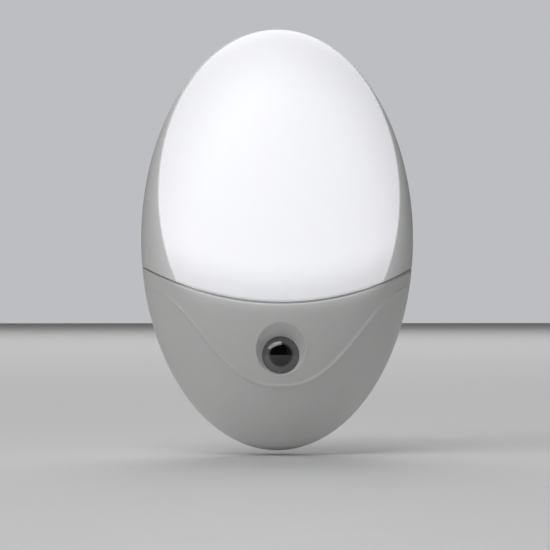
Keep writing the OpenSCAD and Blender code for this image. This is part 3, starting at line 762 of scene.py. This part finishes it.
def glow(tree, shader, distance, reach_mm, strength, mask=None):
    """Light that the diffuser's edge sends into the white wall, fading with distance."""
    per_reach = -1 / (reach_mm * MM)
    fade = add(tree, "ShaderNodeMath", {0: distance, 1: per_reach}, operation="MULTIPLY").outputs[0]
    share_left = add(tree, "ShaderNodeMath", {0: fade}, operation="EXPONENT").outputs[0]
    level = add(tree, "ShaderNodeMath", {0: share_left, 1: strength}, operation="MULTIPLY").outputs[0]
    capped = add(tree, "ShaderNodeMath", {0: level, 1: strength}, operation="MINIMUM").outputs[0]
    tree.links.new(mask(tree, capped) if mask else capped, shader.inputs["Emission Strength"])


def beside_diffuser(tree, level):
    """Keeps the cover's glow to where it borders the diffuser: off its ends by the wings, and its ledge."""
    low, high = COVER_GLOW_END
    off_wings = add(
        tree, "ShaderNodeMapRange",
        {
            "Value": parting_distance(tree), "From Min": low * MM, "From Max": high * MM,
            "To Min": 1.0, "To Max": 0.0,
        },
    ).outputs["Result"]
    low, high = LEDGE_GLOW_END
    off_ledge = add(
        tree, "ShaderNodeMapRange",
        {
            "Value": seam_distance(tree), "From Min": low * MM, "From Max": high * MM,
            "To Min": 0.0, "To Max": 1.0,
        },
    ).outputs["Result"]
    kept = add(tree, "ShaderNodeMath", {0: off_ledge, 1: off_wings}, operation="MULTIPLY").outputs[0]
    return add(tree, "ShaderNodeMath", {0: level, 1: kept}, operation="MULTIPLY").outputs[0]


def moulded_white_abs(name, distance, reach_mm, strength, mask=None):
    """Injection-moulded white ABS: satin and almost even, with a faint grain and a glow at its lit edge."""
    made, tree, shader = base_finish(
        name, "#e2e2e0", 0.42, ior=1.54,
        **{"Subsurface Weight": 0.12, "Subsurface Scale": 0.0012, "Emission Color": linear("#f4f6fa")},
    )
    noise = grain(tree, shader, size_mm=0.35, depth_mm=0.0035)
    uneven(tree, shader.inputs["Roughness"], noise, low=0.38, high=0.46)
    glow(tree, shader, distance(tree), reach_mm, strength, mask)
    return made


def frosted_polypropylene():
    """Frosted translucent polypropylene, lit from behind: an even white that softens towards its edges."""
    made, tree, shader = base_finish(
        "frosted_polypropylene", "#f0f1f3", 0.45, ior=1.49,
        **{"Subsurface Weight": 0.2, "Subsurface Scale": 0.002, "Emission Color": linear("#f6f9ff")},
    )
    grain(tree, shader, size_mm=0.3, depth_mm=0.003)
    place = add(tree, "ShaderNodeTexCoord").outputs["Object"]
    middle = (0, 0, CENTRE.z * MM)
    sizes = (1 / (HALF_W * MM), 0, 1 / (HALF_H * MM))
    moved = add(tree, "ShaderNodeVectorMath", {0: place, 1: middle}, operation="SUBTRACT").outputs[0]
    scaled = add(tree, "ShaderNodeVectorMath", {0: moved, 1: sizes}, operation="MULTIPLY").outputs[0]
    off = add(tree, "ShaderNodeVectorMath", {0: scaled}, operation="LENGTH").outputs["Value"]
    sides = add(
        tree, "ShaderNodeMapRange",
        {
            "Value": off, "From Min": DIFFUSER_RIM[0], "From Max": DIFFUSER_RIM[1],
            "To Min": 1.0, "To Max": DIFFUSER_RIM_SHARE,
        },
        interpolation_type="SMOOTHSTEP",
    ).outputs["Result"]
    foot = add(
        tree, "ShaderNodeMapRange",
        {
            "Value": seam_distance(tree), "From Min": -DIFFUSER_FOOT * MM, "From Max": 0.0,
            "To Min": 1.0, "To Max": DIFFUSER_FOOT_SHARE,
        },
        interpolation_type="SMOOTHSTEP",
    ).outputs["Result"]
    rounded_edge = add(
        tree, "ShaderNodeMapRange",
        {
            "Value": seam_distance(tree), "From Min": -DIFFUSER_EDGE * MM, "From Max": -SEAM_GAP / 2 * MM,
            "To Min": DIFFUSER_GLOW, "To Max": DIFFUSER_EDGE_GLOW,
        },
    ).outputs["Result"]
    both = add(tree, "ShaderNodeMath", {0: sides, 1: foot}, operation="MULTIPLY").outputs[0]
    level = add(tree, "ShaderNodeMath", {0: both, 1: rounded_edge}, operation="MULTIPLY").outputs[0]
    tree.links.new(level, shader.inputs["Emission Strength"])
    return made


def plain(name, colour, roughness, size_mm=0.4, depth_mm=0.004, spread=0.05, stretch=(1, 1, 1), **others):
    """A finish whose only pattern is its fine grain and uneven gloss."""
    made, tree, shader = base_finish(name, colour, roughness, **others)
    noise = grain(tree, shader, size_mm, depth_mm, stretch)
    uneven(tree, shader.inputs["Roughness"], noise, roughness - spread, roughness + spread)
    return made


def smoked_polycarbonate():
    """Polished smoked polycarbonate: a hard gloss and grey at its rim, with black painted over the shroud's
    bore: partly the shroud's own black, partly painted shade of the bore, as if seen through the lens.
    """
    rim_grey = "#6e6f71"
    made, tree, shader = base_finish(
        "polished_smoked_polycarbonate", rim_grey, 0.06, ior=1.585,
        **{"Specular IOR Level": 0.7},
    )
    place = add(tree, "ShaderNodeTexCoord").outputs["Object"]
    axis = (0, 0, (CENTRE.z + SENSOR_Z) * MM)
    flat = add(tree, "ShaderNodeVectorMath", {0: place, 1: (1, 0, 1)}, operation="MULTIPLY").outputs[0]
    r = add(tree, "ShaderNodeVectorMath", {0: flat, 1: axis}, operation="DISTANCE").outputs["Value"]
    rim = add(
        tree, "ShaderNodeMapRange",
        {"Value": r, "From Min": BORE_SHADE_RADII[0] * MM, "From Max": BORE_SHADE_RADII[1] * MM, "To Min": 0.0, "To Max": 1.0},
        interpolation_type="SMOOTHSTEP",
    ).outputs["Result"]
    # Painted shade: the lens's middle is black for the dark bore of the black shroud behind it
    bore_shade_tint = add(
        tree, "ShaderNodeMix", {"Factor": rim, "A": linear("#060606"), "B": linear(rim_grey)},
        data_type="RGBA",
    )
    tree.links.new(bore_shade_tint.outputs["Result"], shader.inputs["Base Color"])
    return made


housing_white = moulded_white_abs("moulded_white_abs_housing", parting_distance, HOUSING_REACH, HOUSING_GLOW)
cover_white = moulded_white_abs(
    "moulded_white_abs_cover", seam_distance, COVER_REACH, COVER_GLOW, beside_diffuser
)
frosted = frosted_polypropylene()

# The other finishes, each under the name of its slot, with what it gives the eye
finishes = {
    # satin cool white that spreads the light behind the diffuser
    "white_polystyrene": plain("moulded_polystyrene", "#ecece8", 0.5),
    "smoked_lens": smoked_polycarbonate(),
    # near black with a dull sheen, so that no light comes back out of the shroud
    "black_plastic": plain("moulded_black_plastic", "#141414", 0.55),
    # glossy rust-brown coat
    "photocell_ceramic": plain("epoxy_coated_ceramic", "#8a4a22", 0.3, ior=1.56),
    # bright pale metal with faint marks along the drawn wire
    "tinned_wire": plain("tinned_copper", "#c9c9c6", 0.25, metallic=1.0, stretch=(1, 0.1, 1)),
    # tan board with the soft cloudiness of pressed paper
    "board_laminate": plain("paper_phenolic_laminate", "#c9b57a", 0.5, size_mm=0.8),
    # pale yellow phosphor under a clear skin
    "led_package": plain("phosphor_package", "#f2e49a", 0.35),
    # strong yellow moulded box with soft highlights
    "yellow_box": plain("moulded_yellow_box", "#d8a91c", 0.35),
    # dark blue shrunk film with a tight gloss
    "capacitor_sleeve": plain("shrunk_sleeve", "#1b2348", 0.3),
    # matt near black
    "black_epoxy": plain("moulded_epoxy", "#1a1a1a", 0.5),
    # grey-green lacquer with a dipped gloss
    "resistor_lacquer": plain("flameproof_lacquer", "#8fa8a0", 0.3),
    # warm silvery metal with fine turned marks round the pin
    "nickel_brass": plain(
        "nickel_plated_brass", "#cdc9bf", 0.2, metallic=1.0, size_mm=0.25, depth_mm=0.002,
        stretch=(0.1, 4, 0.1),
    ),
    # satin light grey
    "sleeve_plastic": plain("moulded_sleeve", "#dcdcda", 0.4),
    # milky natural nylon, a little yellow
    "retainer_nylon": plain("moulded_nylon", "#e2dfd2", 0.45),
    # cool bright plating
    "zinc_steel": plain("zinc_plated_steel", "#c4c7cb", 0.28, metallic=1.0),
    # smooth extruded insulation in the two colours of mains wires
    "blue_wire": plain("extruded_blue_insulation", "#23479a", 0.4),
    "brown_wire": plain("extruded_brown_insulation", "#5a3115", 0.4),
}

lower_cover_shell(cover_white)
diffuser_shell(frosted)
rear_housing_shell(housing_white)
sensor_lens_dome(finishes["smoked_lens"])
housing_screws_cross(finishes["zinc_steel"])

replaced = {"lower_cover", "diffuser", "rear_housing", "sensor_lens", "housing_screws"}
for row in frame["record"]["subparts"]:
    if row["node"] not in replaced:
        piece = frame["nodes"][row["node"]]
        for slot in piece.material_slots:
            slot.material = finishes[row["material_slot"]]

# ---- Floor, light and camera, in metres ----

FLOOR_W = 6
FLOOR_GAP = 0.001                                 # between the floor and the object's lowest point

bpy.ops.mesh.primitive_plane_add(size=FLOOR_W, location=(0, 0, cad_low.z - FLOOR_GAP))
floor = bpy.context.object
floor.name = "floor"
floor.data.materials.append(plain("pale_floor", "#f2f2f3", 0.6, size_mm=20, depth_mm=0.01))


def light(name, kind, place, power, roll=0.0, **settings):
    """A light at a place in metres, aimed at the object and rolled about its own axis."""
    data = bpy.data.lights.new(name, kind)
    data.energy = power
    for key, value in settings.items():
        setattr(data, key, value)
    lamp = bpy.data.objects.new(name, data)
    lamp.location = place
    aimed = (CENTRE * MM - Vector(place)).to_track_quat("-Z", "Y")
    lamp.rotation_euler = (aimed @ Quaternion((0, 0, 1), roll)).to_euler()
    bpy.context.scene.collection.objects.link(lamp)


# A long soft key from the upper left, a weak fill, an even light from above and one for the floor behind
light(
    "key_light", "AREA", (-0.37, -0.71, 0.65), power=2.7, roll=math.radians(30),
    shape="RECTANGLE", size=1.0, size_y=0.32,
)
light("fill_light", "AREA", (0.7, -0.6, 0.3), power=0.15, size=0.8)
light("top_light", "SUN", (-0.2, -0.37, 0.9), power=0.55, angle=math.radians(50))
light("back_light", "AREA", (0, 1.6, 1.4), power=17, size=2)

# The camera sees a pale backdrop, and the object gets only a little even light from all round
world = bpy.data.worlds.new("studio")
world.use_nodes = True
sky = world.node_tree
ambient = sky.nodes["Background"]
ambient.inputs["Color"].default_value = linear("#c4c6c8")
ambient.inputs["Strength"].default_value = 0.03
backdrop = add(sky, "ShaderNodeBackground", {"Color": linear("#bcbec1")})
seen = add(sky, "ShaderNodeLightPath").outputs["Is Camera Ray"]
mixed = add(sky, "ShaderNodeMixShader", {0: seen, 1: ambient.outputs[0], 2: backdrop.outputs[0]})
sky.links.new(mixed.outputs[0], sky.nodes["World Output"].inputs["Surface"])
bpy.context.scene.world = world
bpy.context.scene.view_settings.view_transform = "Standard"

CAMERA_D = 0.8                                    # from the egg's centre
CAMERA_TURN = math.radians(-2.7)                  # slightly from the left
CAMERA_RISE = math.radians(-0.8)                  # and from below
FRAME_W = 0.1254                                  # width that the photograph shows at the egg's outline
PHOTO = 550                                       # the photograph's side in pixels
EGG_IN_PHOTO = (277.2, 239.5)                     # centre of the egg's outline there
FILM_W = 36                                       # the camera's film, in millimetres

camera_data = bpy.data.cameras.new("camera")
camera_data.sensor_width = FILM_W
camera_data.lens = FILM_W * CAMERA_D / FRAME_W
camera_data.shift_x = (PHOTO / 2 - EGG_IN_PHOTO[0]) / PHOTO
camera_data.shift_y = (EGG_IN_PHOTO[1] - PHOTO / 2) / PHOTO
camera = bpy.data.objects.new("camera", camera_data)
bpy.context.scene.collection.objects.link(camera)
target = CENTRE * MM
level = math.cos(CAMERA_RISE)
away = Vector((math.sin(CAMERA_TURN) * level, -math.cos(CAMERA_TURN) * level, math.sin(CAMERA_RISE)))
camera.location = target + away * CAMERA_D
camera.rotation_euler = (-away).to_track_quat("-Z", "Y").to_euler()
bpy.context.scene.camera = camera
